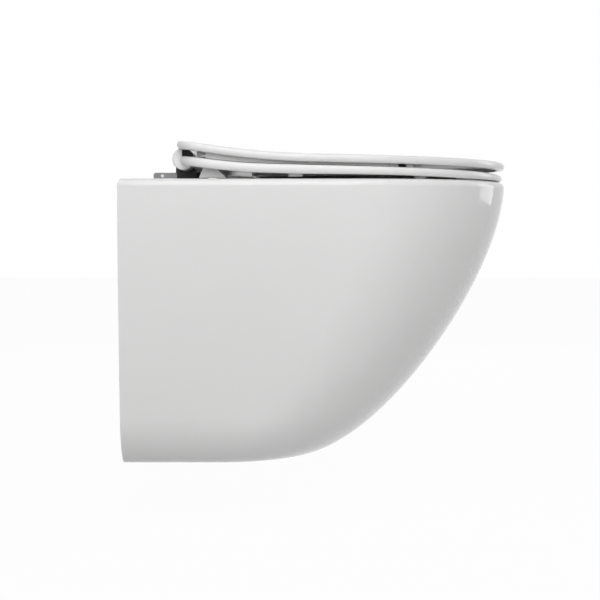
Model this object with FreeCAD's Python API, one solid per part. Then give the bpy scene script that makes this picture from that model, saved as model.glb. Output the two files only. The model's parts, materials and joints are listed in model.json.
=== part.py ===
"""Wall hung toilet: a shrouded ceramic pan with a slim soft-close seat and lid.

Millimetres. x = 0 is the wall, +x points into the room, +z is up, and the
origin lies midway between the two wall bolts. One STEP file per piece.
"""
import math
import os

import FreeCAD
import Part

V = FreeCAD.Vector
AXIS_X = V(1, 0, 0)
AXIS_Y = V(0, 1, 0)
AXIS_Z = V(0, 0, 1)
LEFT, RIGHT = -1, 1

# Pan, outside. Depths are measured down from the rim's flat top.
rim_height = 80.0
pan_length = 490.0
pan_width = 365.0
pan_height = 355.0
pan_nose = 190.0
pan_foot = 221.0
front_drop = 121.0
front_sweep = 322.0
side_draft = 31.0
side_draft_depth = 300.0
side_draft_power = 1.4
under_roll_height = 60.0
under_roll_width = 43.0
rim_edge_radius = 9.0
rear_edge_radius = 5.0
rim_roll_steps = 4
back_overrun = 1.0

# Pan, walls and bowl
ceramic_wall = 11.0
deck_thickness = 14.0
rear_wall_thickness = 14.0
rear_wall_drop = 125.0
bowl_rear = 122.0
bowl_front_margin = 38.0
bowl_width = 278.0
bowl_edge_radius = 7.0
bowl_edge_steps = 3
bowl_front_delay = 1.15
bowl_steps = 14
sump_depth = 300.0
sump_rear = 196.0
sump_front = 246.0

# Flush inlet and channel
inlet_above_bolts = 35.0
inlet_bore_radius = 27.5
inlet_bore_length = 40.0
channel_radius = 24.0
nozzle_width = 84.0
nozzle_height = 20.0
nozzle_length = 34.0

# Trap and outlet
outlet_below_bolts = 100.0
spigot_radius = 51.0
spigot_length = 45.0
spigot_bore_radius = 42.0
spigot_taper = 24.0
spigot_space = 25.0
trap_height = 60.0
trap_width = 58.0
trap_start_x = 222.0
trap_dip_x = 148.0
trap_dip_below_bolts = 190.0
trap_crest_x = 110.0
trap_crest_below_bolts = 45.0
trap_dip_bend = 48.0
trap_crest_bend = 44.0

# Access window in the underside
window_rear = 25.0
window_front = 150.0
window_width = 140.0
window_corner = 22.0

# Wall fixings
wall_bolt_spacing = 180.0
wall_bolt_hole_radius = 6.5
bushing_radius = 11.7
bushing_clearance = 0.3
bushing_flange_radius = 19.0
bushing_flange = 4.0
wall_washer_radius = 18.0
wall_washer = 2.5
wall_nut_flats = 19.0
wall_nut_height = 10.0
wall_nut_bore_radius = 6.1

# Hinges
hinge_spacing = 155.0
hinge_axis_x = 77.0
hinge_axis_above_rim = 25.0
gasket_thickness = 1.8
gasket_margin = 0.8
base_rear = 34.7
base_front = 90.5
base_width = 30.0
base_height = 8.2
base_wall = 2.0
base_corner = 7.0
base_edge_bevel = 1.6
peg_x = 69.0
peg_radius = 4.5
peg_height = 9.0
peg_clearance = 0.1
post_width = 26.0
post_rear = 59.0
post_front = 87.0
post_shoulder_drop = 2.0
post_hub_radius = 9.5
pin_radius = 4.0
pin_fit = 0.05
seat_grip = 30.0
lid_grip = 30.0
side_gap = 0.8

# Seat fixings through the deck
fixing_x = 50.0
fixing_hole_radius = 7.5
stud_radius = 3.5
stud_clearance = 0.3
stud_head_radius = 6.5
stud_head = 2.6
stud_length = 46.0
disc_radius = 9.8
disc_thickness = 3.0
bush_length = 30.0
bush_radius = 7.2
bush_bulge = 9.5
clamp_washer_radius = 13.0
clamp_washer_thickness = 2.0
wing_hub_radius = 6.5
wing_hub_height = 9.0
wing_span = 30.0
wing_thickness = 3.0
wing_drop = 3.0
set_screw_x = 46.7
set_screw_radius = 2.0
set_screw_length = 4.9

# Release buttons
button_width = 8.0
button_height = 6.4
button_thickness = 4.5
button_travel = 2.2
button_stem_radius = 2.0
button_stem_length = 9.0
button_above_rim = 14.6
button_edge_radius = 1.3
button_fit = 0.06
button_stop_gap = 0.3

# Seat
seat_side_gap = 3.5
seat_front_gap = 3.0
seat_nose = 186.0
seat_rear = 99.0
seat_corner = 24.0
seat_thickness = 11.3
seat_rear_lift = 15.0
seat_mid_lift = 6.6
seat_front_lift = 0.5
seat_mid_x = 185.0
seat_curve_rear = 90.0
seat_rest_margin = 67.0
seat_edge_bevel = 2.6
hole_rear = 165.0
hole_front_margin = 67.0
hole_middle = 285.0
hole_width = 220.0
recess_depth = 4.0
recess_margin = 8.0
barrel_radius = 13.5
seat_barrel_length = 56.0
arm_front = 122.0
arm_lean = 62.0
arm_inset = 3.2

# Bumpers
rear_pad_x = 114.2
rear_pad_length = 33.6
rear_pad_back_lean = 5.0
rear_pad_front_lean = 13.5
rear_pad_waist = 12.0
rear_pad_gap = 1.4
middle_pad_x = 215.0
middle_pad_length = 18.0
middle_pad_drop = 3.2
front_pad_x = 368.0
front_pad_length = 15.0
pad_width = 12.0
pad_inset = 11.0
pad_corner = 3.0
lid_pad_x = 366.0
lid_pad_length = 11.0
rest_gap = 0.3

# Lid
lid_overhang = 1.0
lid_nose = 188.0
lid_rear = 70.0
lid_corner = 26.0
lid_thickness = 10.0
lid_skin = 5.0
lid_margin = 10.0
lid_rear_lift = 47.0
lid_curve_rear = 50.0
lid_bend_start = 118.0
lid_bend_end = 232.0
lid_rear_slope = 0.145
lid_front_slope = 0.0224
lid_edge_bevel = 2.4
ridge_inset = 15.0
ridge_width = 3.0
ridge_rear = 106.0
ridge_front = 331.0
ridge_gap = 1.0
notch_side_gap = 2.0
notch_end_gap = 4.5
barrel_relief = 0.9
web_rear = 71.5
web_front = 88.0

# Dampers and bushes inside the two barrels
damper_radius = 9.5
damper_length = 44.0
damper_fit = 0.1
damper_wall = 2.5

# How far blocks that only trim a piece run past it
overrun = 120.0

# Derived places
rim = rim_height
bowl_front = pan_length - bowl_front_margin
seat_width = pan_width - 2 * seat_side_gap
seat_front = pan_length - seat_front_gap
seat_rest_x = seat_front - seat_rest_margin
hole_front = seat_front - hole_front_margin
lid_width = seat_width + 2 * lid_overhang
lid_front = pan_length
hinge_z = rim_height + hinge_axis_above_rim
half_spacing = hinge_spacing / 2
post_inner = half_spacing - post_width / 2
post_outer = half_spacing + post_width / 2
base_top = rim_height + gasket_thickness + base_height


def box(x0, x1, y0, y1, z0, z1):
    """A block between two opposite corners."""
    return Part.makeBox(x1 - x0, y1 - y0, z1 - z0, V(x0, y0, z0))


def cylinder_x(radius, x0, x1, y, z):
    return Part.makeCylinder(radius, x1 - x0, V(x0, y, z), AXIS_X)


def cylinder_y(radius, y0, y1, x, z):
    return Part.makeCylinder(radius, y1 - y0, V(x, y0, z), AXIS_Y)


def cylinder_z(radius, z0, z1, x, y):
    return Part.makeCylinder(radius, z1 - z0, V(x, y, z0), AXIS_Z)


def tube_z(outer, inner, z0, z1, x, y):
    return cylinder_z(outer, z0, z1, x, y).cut(cylinder_z(inner, z0, z1, x, y))


def mirrored(shape):
    """The same piece on the other side of the centre plane."""
    return shape.mirror(V(0, 0, 0), AXIS_Y)


def pair(shape):
    return Part.makeCompound([shape, mirrored(shape)])


def oval_end(middle, reach, half_width, z, forward=True):
    """Half an ellipse, from the -y side round the end to the +y side."""
    circle = Part.Circle(V(0, 0, 0), AXIS_Z, half_width)
    arc = Part.ArcOfCircle(circle, -math.pi / 2, math.pi / 2).toShape()
    stretch = FreeCAD.Matrix()
    stretch.scale(V(reach / half_width if forward else -reach / half_width, 1, 1))
    arc = arc.transformGeometry(stretch)
    arc.translate(V(middle, 0, z))
    return arc


def egg(rear, middle, front, half_width, z):
    """Closed outline of two half ellipses that meet at x = middle."""
    front_arc = oval_end(middle, front - middle, half_width, z)
    rear_arc = oval_end(middle, middle - rear, half_width, z, forward=False)
    return Part.Wire(Part.__sortEdges__([front_arc, rear_arc]))


def d_outline(rear, front, half_width, nose, z, corner=0.0):
    """Straight sides from the rear, closed by half an ellipse nose long at the front."""
    middle = front - nose
    a, b = V(middle, half_width, z), V(rear + corner, half_width, z)
    c, d = V(rear, half_width - corner, z), V(rear, corner - half_width, z)
    e, f = V(rear + corner, -half_width, z), V(middle, -half_width, z)
    edges = [oval_end(middle, nose, half_width, z), Part.makeLine(a, b)]
    if corner > 0:
        bulge = corner * (1 - math.sqrt(0.5))
        left = V(rear + bulge, half_width - bulge, z)
        right = V(rear + bulge, bulge - half_width, z)
        edges.append(Part.Arc(b, left, c).toShape())
        edges.append(Part.makeLine(c, d))
        edges.append(Part.Arc(d, right, e).toShape())
    else:
        edges.append(Part.makeLine(b, d))
    edges.append(Part.makeLine(e, f))
    return Part.Wire(Part.__sortEdges__(edges))


def plate(outline, height):
    """A vertical prism on a flat outline."""
    return Part.Face(outline).extrude(V(0, 0, height))


def profile_slab(edges, half_width):
    """Prism across the toilet on a closed side profile drawn at y = 0."""
    face = Part.Face(Part.Wire(Part.__sortEdges__(edges)))
    face.translate(V(0, -half_width, 0))
    return face.extrude(V(0, 2 * half_width, 0))


def polygon_y(points, y0, y1):
    """Prism along y on a polygon of (x, z) corners."""
    wire = Part.makePolygon([V(x, y0, z) for x, z in points + points[:1]])
    return Part.Face(wire).extrude(V(0, y1 - y0, 0))


def rounded_plate(x0, x1, y0, y1, corner, z, height):
    """Vertical prism with round corners."""
    block = box(x0, x1, y0, y1, z, z + height)
    upright = [e for e in block.Edges if abs(e.tangentAt(e.FirstParameter).z) > 0.9]
    return block.makeFillet(corner, upright)


# ---------------------------------------------------------------- ceramic
# Shell, bowl, channel and trapway are cast apart, joined wet and fired as one.

def pan_half_width(depth):
    """Half the pan's width: a slight draft, then a quarter ellipse rolling under."""
    draft = side_draft * (depth / side_draft_depth) ** side_draft_power
    start = pan_height - under_roll_height
    share = min(1.0, max(0.0, (depth - start) / under_roll_height))
    return pan_width / 2 - draft - under_roll_width * (1 - math.sqrt(1 - share * share))


def pan_front_curve():
    """Centre line of the front: x forward, y as depth below the rim."""
    curve = Part.BezierCurve()
    curve.setPoles([
        V(pan_length, 0, 0),
        V(pan_length, front_drop, 0),
        V(front_sweep, pan_height, 0),
        V(pan_foot, pan_height, 0),
    ])
    return curve


def pan_section(t, inset, rear, depth):
    """The pan's D at one point of the front curve, drawn in by inset."""
    point = pan_front_curve().value(t)
    half = pan_half_width(point.y) - inset
    nose = pan_nose * half / (pan_width / 2)
    return d_outline(rear, point.x - inset, half, nose, rim - depth)


def pan_outside():
    """Stack of D sections, cut flat at the wall: rolled top edge, drafted sides, roll under."""
    curve = pan_front_curve()
    sections = []
    for step in range(rim_roll_steps):
        angle = math.pi / 2 * step / rim_roll_steps
        inset = rim_edge_radius * (1 - math.sin(angle))
        rear = rear_edge_radius * (1 - math.sin(angle))
        sections.append(pan_section(0.0, inset, rear, rim_edge_radius * (1 - math.cos(angle))))
    for t in (0.03, 0.1, 0.17, 0.24, 0.31, 0.38, 0.45, 0.52, 0.59, 0.66, 0.73, 0.79, 0.85, 0.9, 0.95, 1.0):
        sections.append(pan_section(t, 0.0, -back_overrun, curve.value(t).y))
    return Part.makeLoft(sections, True, True).common(in_front_of_wall())


def in_front_of_wall():
    return box(0, pan_length, -pan_width, pan_width, rim - pan_height, rim)


def pan_inside():
    """Space inside the skirt: the same form drawn in by the wall, running out past the back."""
    curve = pan_front_curve()
    sections = []
    for t in (0.0, 0.12, 0.22, 0.32, 0.42, 0.52, 0.62, 0.72, 0.82, 0.92):
        depth = max(deck_thickness, min(curve.value(t).y, pan_height - ceramic_wall))
        sections.append(pan_section(t, ceramic_wall, -ceramic_wall, depth))
    return Part.makeLoft(sections, True, True)


def bowl_outline(rear, front, grow, z):
    """One egg of the bowl: length and width always in the proportion of the mouth."""
    reach = (front - rear) / 2 + grow
    half = reach * bowl_width / (bowl_front - bowl_rear)
    return egg((rear + front) / 2 - reach, (rear + front) / 2, (rear + front) / 2 + reach, half, z)


def bowl_sections(grow):
    """Outlines down the bowl: the rear falls evenly, the front dips late and flattens out."""
    sections = []
    for step in range(bowl_steps + 1):
        down = step / bowl_steps
        late = down ** bowl_front_delay
        ahead = late * late * (3 - 2 * late)
        rear = bowl_rear + (sump_rear - bowl_rear) * down
        front = bowl_front - (bowl_front - sump_front) * ahead
        z = rim - sump_depth * down - (grow if step == bowl_steps else 0.0)
        sections.append(bowl_outline(rear, front, grow, z))
    return sections


def bowl_inside():
    """The bowl's hollow, with the mouth's edge rolled outwards."""
    lip = []
    for step in range(bowl_edge_steps + 1):
        angle = math.pi / 2 * step / bowl_edge_steps
        grow = bowl_edge_radius * (1 - math.sin(angle))
        depth = bowl_edge_radius * (1 - math.cos(angle))
        lip.append(bowl_outline(bowl_rear, bowl_front, grow, rim - depth))
    hollow = Part.makeLoft(lip + bowl_sections(0.0)[1:], True, True)
    return hollow.fuse(plate(lip[0], ceramic_wall))


def bowl_outside():
    return Part.makeLoft(bowl_sections(ceramic_wall), True, True)


def trap_corners():
    """Centre line of the trapway: out of the sump, under the dip, over the crest, to the outlet."""
    return [
        V(trap_start_x, 0, -trap_dip_below_bolts),
        V(trap_dip_x, 0, -trap_dip_below_bolts),
        V(trap_crest_x, 0, -trap_crest_below_bolts),
        V(spigot_length, 0, -outlet_below_bolts),
    ]


def passage_section(place, along, grow):
    """Upright oblong section of the trapway at one place, square to its run."""
    up = along.cross(AXIS_Y).normalize() * (trap_height / 2 + grow)
    across = AXIS_Y * (trap_width / 2 + grow)
    corners = [place + up + across, place + up - across, place - up - across, place - up + across]
    return Part.Face(Part.makePolygon(corners + corners[:1]))


def trap_passage(grow):
    """The trapway up to the spigot, or its outside when grown by the wall: runs and tangent bends."""
    corners = trap_corners()
    corners[0] += AXIS_X * grow
    bends = (trap_dip_bend, trap_crest_bend)
    pieces = []
    start = corners[0]
    for before, corner, after, bend in zip(corners, corners[1:], corners[2:], bends):
        back = (before - corner).normalize()
        ahead = (after - corner).normalize()
        half_turn = back.getAngle(ahead) / 2
        entry = corner + back * (bend / math.tan(half_turn))
        leave = corner + ahead * (bend / math.tan(half_turn))
        centre = corner + (back + ahead).normalize() * (bend / math.sin(half_turn))
        turn = math.copysign(180.0 - math.degrees(2 * half_turn), back.cross(ahead).y)
        section = passage_section(entry, back, grow)
        pieces.append(passage_section(start, back, grow).extrude(entry - start))
        pieces.append(section.revolve(centre, AXIS_Y, -turn))
        start = leave
    last = corners[-1] - start
    pieces.append(passage_section(start, last, grow).extrude(last))
    end = spigot_length + (ceramic_wall - grow) / 2
    behind = box(0, end, -pan_width, pan_width, -pan_height, rim)
    return [piece.cut(behind) for piece in pieces]


def outlet_cone(wide, narrow):
    """Tapers from the spigot forward onto the trapway's last run."""
    z = -outlet_below_bolts
    return Part.makeCone(wide, narrow, spigot_taper, V(spigot_length, 0, z), AXIS_X)


def nozzle(grow, x0, x1):
    """Flat slot with round ends where the flush enters the bowl."""
    z = inlet_above_bolts
    half_height = nozzle_height / 2 + grow
    reach = (nozzle_width - nozzle_height) / 2
    middle = box(x0, x1, -reach, reach, z - half_height, z + half_height)
    ends = [cylinder_x(half_height, x0, x1, side * reach, z) for side in (LEFT, RIGHT)]
    return middle.fuse(ends)


def rear_wall():
    """Upright wall behind the bowl that takes the bolts and the inlet, arched over the outlet."""
    wall = box(0, rear_wall_thickness, -pan_width, pan_width, rim - rear_wall_drop, rim)
    z = -outlet_below_bolts
    return wall.cut(cylinder_x(spigot_radius + spigot_space, -1, rear_wall_thickness + 1, 0, z))


def below_deck():
    """Everything lower than the deck's underside."""
    return box(-overrun, pan_length, -pan_width, pan_width, -pan_height, rim - deck_thickness)


def pan_shell():
    """Skirt, underside, flat deck and rear wall, with the bowl's mouth and the fixing holes."""
    pan = pan_outside().cut(pan_inside().cut(rear_wall()))
    socket = cylinder_x(inlet_bore_radius + ceramic_wall, -1, rear_wall_thickness + 1, 0, inlet_above_bolts)
    bores = [
        bowl_inside(),
        socket.common(below_deck()),
        rounded_plate(window_rear, window_front, -window_width / 2, window_width / 2,
                      window_corner, rim - pan_height - ceramic_wall, 3 * ceramic_wall),
    ]
    for side in (LEFT, RIGHT):
        y = side * wall_bolt_spacing / 2
        hole = bushing_radius + bushing_clearance
        bores.append(cylinder_x(hole, -1, rear_wall_thickness + 1, y, 0))
        y = side * half_spacing
        bores.append(cylinder_z(fixing_hole_radius, rim - deck_thickness - 1, rim + 1, fixing_x, y))
    for bore in bores:
        pan = pan.cut(bore)
    return pan


def flush_channel():
    """Inlet socket in the rear wall, channel under the deck and the slot into the bowl."""
    wall, z = ceramic_wall, inlet_above_bolts
    bowl_back = bowl_rear + wall
    tube = cylinder_x(inlet_bore_radius + wall, 0, inlet_bore_length + wall, 0, z).fuse([
        cylinder_x(channel_radius + wall, 0, bowl_back, 0, z),
        nozzle(wall, bowl_back - nozzle_length, bowl_back),
    ])
    tube = tube.common(below_deck())
    tube = tube.cut(cylinder_x(inlet_bore_radius, -1, inlet_bore_length, 0, z))
    tube = tube.cut(cylinder_x(channel_radius, 0, bowl_back - nozzle_length / 2, 0, z))
    tube = tube.cut(nozzle(0.0, bowl_back - nozzle_length, bowl_back + nozzle_length / 2))
    return tube.cut(bowl_outside())


def bowl():
    """Wall of the bowl below the deck, down to the sump, open to the flush and to the trap."""
    wall = bowl_outside().common(below_deck()).cut(bowl_inside())
    bowl_back = bowl_rear + ceramic_wall
    wall = wall.cut(nozzle(0.0, bowl_back - nozzle_length, bowl_back + nozzle_length / 2))
    for run in trap_passage(0.0):
        wall = wall.cut(run)
    return wall


def trapway():
    """From the sump under the dip, over the crest and down to the outlet spigot."""
    z = -outlet_below_bolts
    tube = trap_passage(ceramic_wall)
    tube = tube[0].fuse(tube[1:] + [
        cylinder_x(spigot_radius, 0, spigot_length, 0, z),
        outlet_cone(spigot_radius, trap_width / 2 + ceramic_wall),
    ])
    bores = trap_passage(0.0) + [
        cylinder_x(spigot_bore_radius, -1, spigot_length, 0, z),
        outlet_cone(spigot_bore_radius, trap_width / 2),
        bowl_outside(),
    ]
    for bore in bores:
        tube = tube.cut(bore)
    return tube


# ---------------------------------------------------------------- wall fixings

def hexagon_x(flats, x0, x1, y, z):
    """Hexagonal prism along x."""
    radius = flats / math.sqrt(3)
    corners = [V(x0, y + radius * math.cos(math.pi / 3 * i), z + radius * math.sin(math.pi / 3 * i))
               for i in range(7)]
    return Part.Face(Part.makePolygon(corners)).extrude(V(x1 - x0, 0, 0))


def wall_bushing():
    """Flanged plastic sleeve that keeps the bolt off the ceramic."""
    y = wall_bolt_spacing / 2
    end = rear_wall_thickness + bushing_flange
    sleeve = cylinder_x(bushing_radius, 0, end, y, 0)
    flange = cylinder_x(bushing_flange_radius, rear_wall_thickness, end, y, 0)
    return sleeve.fuse(flange).cut(cylinder_x(wall_bolt_hole_radius, -1, end + 1, y, 0))


def wall_washer_disc():
    y = wall_bolt_spacing / 2
    start = rear_wall_thickness + bushing_flange
    disc = cylinder_x(wall_washer_radius, start, start + wall_washer, y, 0)
    return disc.cut(cylinder_x(wall_bolt_hole_radius, start - 1, start + wall_washer + 1, y, 0))


def wall_nut():
    y = wall_bolt_spacing / 2
    start = rear_wall_thickness + bushing_flange + wall_washer
    end = start + wall_nut_height
    nut = hexagon_x(wall_nut_flats, start, end, y, 0)
    return nut.cut(cylinder_x(wall_nut_bore_radius, start - 1, end + 1, y, 0))


# ---------------------------------------------------------------- hinges

def hinge_gasket():
    """Soft sealing plate under the chrome base."""
    m = gasket_margin
    sheet = rounded_plate(base_rear - m, base_front + m, half_spacing - base_width / 2 - m,
                          half_spacing + base_width / 2 + m, base_corner + m, rim, gasket_thickness)
    top = rim + gasket_thickness
    return sheet.cut(cylinder_z(fixing_hole_radius, rim - 1, top + 1, fixing_x, half_spacing))


def hinge_base():
    """Chrome cover, hollow below, with the peg that the hinge post clips onto."""
    bottom = rim + gasket_thickness
    y0, y1 = half_spacing - base_width / 2, half_spacing + base_width / 2
    cover = rounded_plate(base_rear, base_front, y0, y1, base_corner, bottom, base_height)
    top = [e for e in cover.Edges if e.BoundBox.ZMin > base_top - 0.01]
    cover = cover.makeChamfer(base_edge_bevel, top)
    w = base_wall
    hollow = rounded_plate(base_rear + w, base_front - w, y0 + w, y1 - w, base_corner - w,
                           bottom - 1, base_height - w + 1)
    cover = cover.cut(hollow)
    cover = cover.fuse(cylinder_z(peg_radius, base_top - w, base_top + peg_height, peg_x, half_spacing))
    return cover.cut(cylinder_y(set_screw_radius + pin_fit, y1 - w - 1, y1 + 1, set_screw_x, screw_z()))


def screw_z():
    return rim + gasket_thickness + base_height / 2


def set_screw():
    """Side screw that holds the base on its disc."""
    y1 = half_spacing + base_width / 2
    return cylinder_y(set_screw_radius, y1 - set_screw_length, y1, set_screw_x, screw_z())


def adjuster_disc():
    z0 = rim + gasket_thickness
    z1 = z0 + disc_thickness
    return tube_z(disc_radius, stud_radius + stud_clearance, z0, z1, fixing_x, half_spacing)


def fixing_stud():
    """Headed stud from the disc down through the deck."""
    head_z = rim + gasket_thickness + disc_thickness
    head = cylinder_z(stud_head_radius, head_z, head_z + stud_head, fixing_x, half_spacing)
    return head.fuse(cylinder_z(stud_radius, head_z - stud_length, head_z, fixing_x, half_spacing))


def expansion_bush():
    """Rubber sleeve in the deck's hole that swells below it when the nut is drawn up."""
    x, y = fixing_x, half_spacing
    under = rim - deck_thickness - bushing_clearance
    low = rim - bush_length
    taper = bush_bulge - bush_radius
    sleeve = cylinder_z(bush_radius, low, rim, x, y)
    bulge = cylinder_z(bush_bulge, low, under - taper, x, y)
    shoulder = Part.makeCone(bush_bulge, bush_radius, taper, V(x, y, under - taper), AXIS_Z)
    bore = cylinder_z(stud_radius + stud_clearance, low - 1, rim + 1, x, y)
    return sleeve.fuse([bulge, shoulder]).cut(bore)


def clamp_washer():
    top = rim - bush_length
    bore = stud_radius + stud_clearance
    return tube_z(clamp_washer_radius, bore, top - clamp_washer_thickness, top, fixing_x, half_spacing)


def wing_nut():
    """Round hub with two flat wings for the fingers."""
    top = rim - bush_length - clamp_washer_thickness
    low = top - wing_hub_height
    x, y = fixing_x, half_spacing
    hub = cylinder_z(wing_hub_radius, low, top, x, y)
    wings = box(x - wing_thickness / 2, x + wing_thickness / 2, y - wing_span / 2, y + wing_span / 2,
                low, top - wing_drop)
    return hub.fuse(wings).cut(cylinder_z(stud_radius + pin_fit, low - 1, top + 1, x, y))


def hinge_post():
    """Plastic post that clips over the peg and carries the axle pin and the release button."""
    block_top = base_top + peg_height
    hub = post_hub_radius
    outline = [
        (post_rear, base_top), (post_front, base_top), (post_front, block_top),
        (hinge_axis_x + hub, hinge_z), (hinge_axis_x - hub, hinge_z),
        (post_rear, block_top - post_shoulder_drop),
    ]
    post = polygon_y(outline, post_inner, post_outer)
    post = post.fuse(cylinder_y(hub, post_inner, post_outer, hinge_axis_x, hinge_z))
    socket = cylinder_z(peg_radius + peg_clearance, base_top - 1, block_top + rest_gap,
                        peg_x, half_spacing)
    pin_hole = cylinder_y(pin_radius + pin_fit, post_inner - 1, post_outer + 1, hinge_axis_x, hinge_z)
    button_bore = cylinder_x(button_stem_radius + button_fit, post_front - button_stem_length,
                             post_front + 1, half_spacing, rim + button_above_rim)
    return post.cut(socket).cut(pin_hole).cut(button_bore)


def axle_pin():
    """Steel pin through the post, standing out into the lid's barrel and the seat's."""
    return cylinder_y(pin_radius, post_inner - side_gap - lid_grip, post_outer + side_gap + seat_grip,
                      hinge_axis_x, hinge_z)


def release_button():
    """Push button in front of the post; pressing it frees the post from its peg."""
    z = rim + button_above_rim
    back = post_front + button_travel + button_stop_gap
    head = box(back, back + button_thickness, half_spacing - button_width / 2,
               half_spacing + button_width / 2, z - button_height / 2, z + button_height / 2)
    face = [e for e in head.Edges if e.BoundBox.XMin > back + 0.01]
    head = head.makeFillet(button_edge_radius, face)
    stem = cylinder_x(button_stem_radius, back - button_stem_length, back, half_spacing, z)
    return head.fuse(stem)


# ---------------------------------------------------------------- seat

def seat_curve(lift):
    """Side line of the seat's underside raised by lift: swept up at the hinge, straight to the front."""
    slope = (seat_front_lift - seat_mid_lift) / (seat_rest_x - seat_mid_x)
    knee_x = (seat_curve_rear + seat_mid_x) / 2
    base = rim + lift
    rear = V(seat_curve_rear, 0, base + seat_rear_lift)
    knee = V(knee_x, 0, base + seat_mid_lift - slope * (seat_mid_x - knee_x))
    middle = V(seat_mid_x, 0, base + seat_mid_lift)
    rest = V(seat_rest_x, 0, base + seat_front_lift)
    front = V(pan_length + pan_nose, 0, base + seat_front_lift)
    sweep = Part.BezierCurve()
    sweep.setPoles([rear, knee, middle])
    return [sweep.toShape(), Part.makeLine(middle, rest), Part.makeLine(rest, front)], rear, front


def lid_curve(lift):
    """Side line of the lid's top raised by lift: falls from the hinge, then runs nearly level."""
    base = rim + lift
    rear = V(lid_curve_rear, 0, base + lid_rear_lift + lid_rear_slope * (lid_rear - lid_curve_rear))
    start = V(lid_bend_start, 0, base + lid_rear_lift - lid_rear_slope * (lid_bend_start - lid_rear))
    half = (lid_bend_end - lid_bend_start) / 2
    knee = V(lid_bend_start + half, 0, start.z - lid_rear_slope * half)
    end = V(lid_bend_end, 0, knee.z - lid_front_slope * half)
    front = V(pan_length + pan_nose, 0, end.z - lid_front_slope * (pan_length + pan_nose - lid_bend_end))
    bend = Part.BezierCurve()
    bend.setPoles([start, knee, end])
    return [Part.makeLine(rear, start), bend.toShape(), Part.makeLine(end, front)], rear, front


def slab(curve, low, high):
    """Space between two lifts of a side line, across the whole toilet."""
    lower, rear_low, front_low = curve(low)
    upper, rear_high, front_high = curve(high)
    ends = [Part.makeLine(rear_low, rear_high), Part.makeLine(front_low, front_high)]
    return profile_slab(lower + upper + ends, pan_width)


def flat_boundary(solid):
    """Edges round the outside of the faces that look up or down."""
    seen = {}
    for face in solid.Faces:
        u0, u1, v0, v1 = face.ParameterRange
        if abs(face.normalAt((u0 + u1) / 2, (v0 + v1) / 2).z) > 0.9:
            for edge in face.Edges:
                seen.setdefault(edge.hashCode(), []).append(edge)
    return [edges[0] for edges in seen.values() if len(edges) == 1]


def seat_outline(inset, z):
    half = seat_width / 2 - inset
    return d_outline(seat_rear + inset, seat_front - inset, half, seat_nose - inset, z, seat_corner - inset)


def seat_hole(grow, z):
    return egg(hole_rear - grow, hole_middle, hole_front + grow, hole_width / 2 + grow, z)


def ring_block(inset, low, high):
    """Seat ring in plan, between two heights, drawn in from both its edges."""
    outer = plate(seat_outline(inset, low), high - low)
    return outer.cut(plate(seat_hole(inset, low), high - low))


def seat_blank():
    """The ring before its lugs: crowned edge above, shallow recess below."""
    low, high = rim - overrun, rim + overrun
    ring = ring_block(0.0, low, high).common(slab(seat_curve, 0.0, seat_thickness))
    ring = ring.makeChamfer(seat_edge_bevel, flat_boundary(ring))
    recess = ring_block(recess_margin, low, high).common(slab(seat_curve, -overrun, recess_depth))
    return ring.cut(recess)


def seat_barrel(side):
    """Round lug outboard of the hinge post, with its arm down to the ring."""
    start = post_outer + side_gap
    end = start + seat_barrel_length
    x, z, r = hinge_axis_x, hinge_z, barrel_radius
    lug = cylinder_y(r, start, end, x, z)
    lean = math.radians(arm_lean)
    arm = [
        (x + r * math.cos(lean), z + r * math.sin(lean)),
        (arm_front, rim + seat_mid_lift + seat_thickness),
        (arm_front, rim + seat_mid_lift + recess_depth),
        (x + r * math.cos(lean), z - r * math.sin(lean)),
    ]
    shape = lug.fuse(polygon_y(arm, start + arm_inset, end))
    return shape if side == RIGHT else mirrored(shape)


def barrel_bore(start, sign):
    """Blind bore for a damper or bush, from the end face at y = start."""
    depth = damper_length + rest_gap
    y0, y1 = sorted((start, start + sign * depth))
    return cylinder_y(damper_radius + damper_fit, y0, y1, hinge_axis_x, hinge_z)


def seat_ring():
    ring = seat_blank().fuse([seat_barrel(LEFT), seat_barrel(RIGHT)])
    start = post_outer + side_gap
    return ring.cut(barrel_bore(start, 1)).cut(barrel_bore(-start, -1))


def half_width_at(x, front, nose, half):
    """Half the width of a D-shaped plate at x."""
    ahead = max(0.0, x - (front - nose)) / nose
    return half * math.sqrt(1 - ahead * ahead)


def pad_place(x, length):
    """Middle of a pad across the seat, just inside the recess at its wider end."""
    edge = half_width_at(x + length / 2, seat_front, seat_nose, seat_width / 2)
    return edge - recess_margin - pad_corner - pad_width / 2


def seat_pad(x, length, low):
    """Soft block from the recess down to low, with round upright corners."""
    y = pad_place(x, length)
    block = rounded_plate(x - length / 2, x + length / 2, y - pad_width / 2, y + pad_width / 2,
                          pad_corner, low, overrun)
    return block.common(slab(seat_curve, -overrun, recess_depth))


def front_pad():
    return seat_pad(front_pad_x, front_pad_length, rim + rest_gap)


def middle_pad():
    slope = (seat_mid_lift - seat_front_lift) / (seat_rest_x - seat_mid_x)
    under = seat_mid_lift - slope * (middle_pad_x - seat_mid_x)
    return seat_pad(middle_pad_x, middle_pad_length, rim + under - middle_pad_drop)


def rear_pad():
    """Shoe-shaped foot under the seat's raised rear corner, outboard of the barrel's arm."""
    low = rim + rear_pad_gap
    waist = low + rear_pad_waist
    top = rim + seat_rear_lift + seat_thickness
    heel, toe = rear_pad_x - rear_pad_length / 2, rear_pad_x + rear_pad_length / 2
    y = post_outer + side_gap + seat_barrel_length + rest_gap
    sides = [
        (heel, low), (toe, low), (toe - rear_pad_front_lean, waist), (toe - rear_pad_front_lean, top),
        (heel + rear_pad_back_lean, top), (heel + rear_pad_back_lean, waist),
    ]
    shoe = polygon_y(sides, y, y + pad_width)
    return shoe.common(slab(seat_curve, -overrun, recess_depth)).cut(seat_blank())


# ---------------------------------------------------------------- lid

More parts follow.
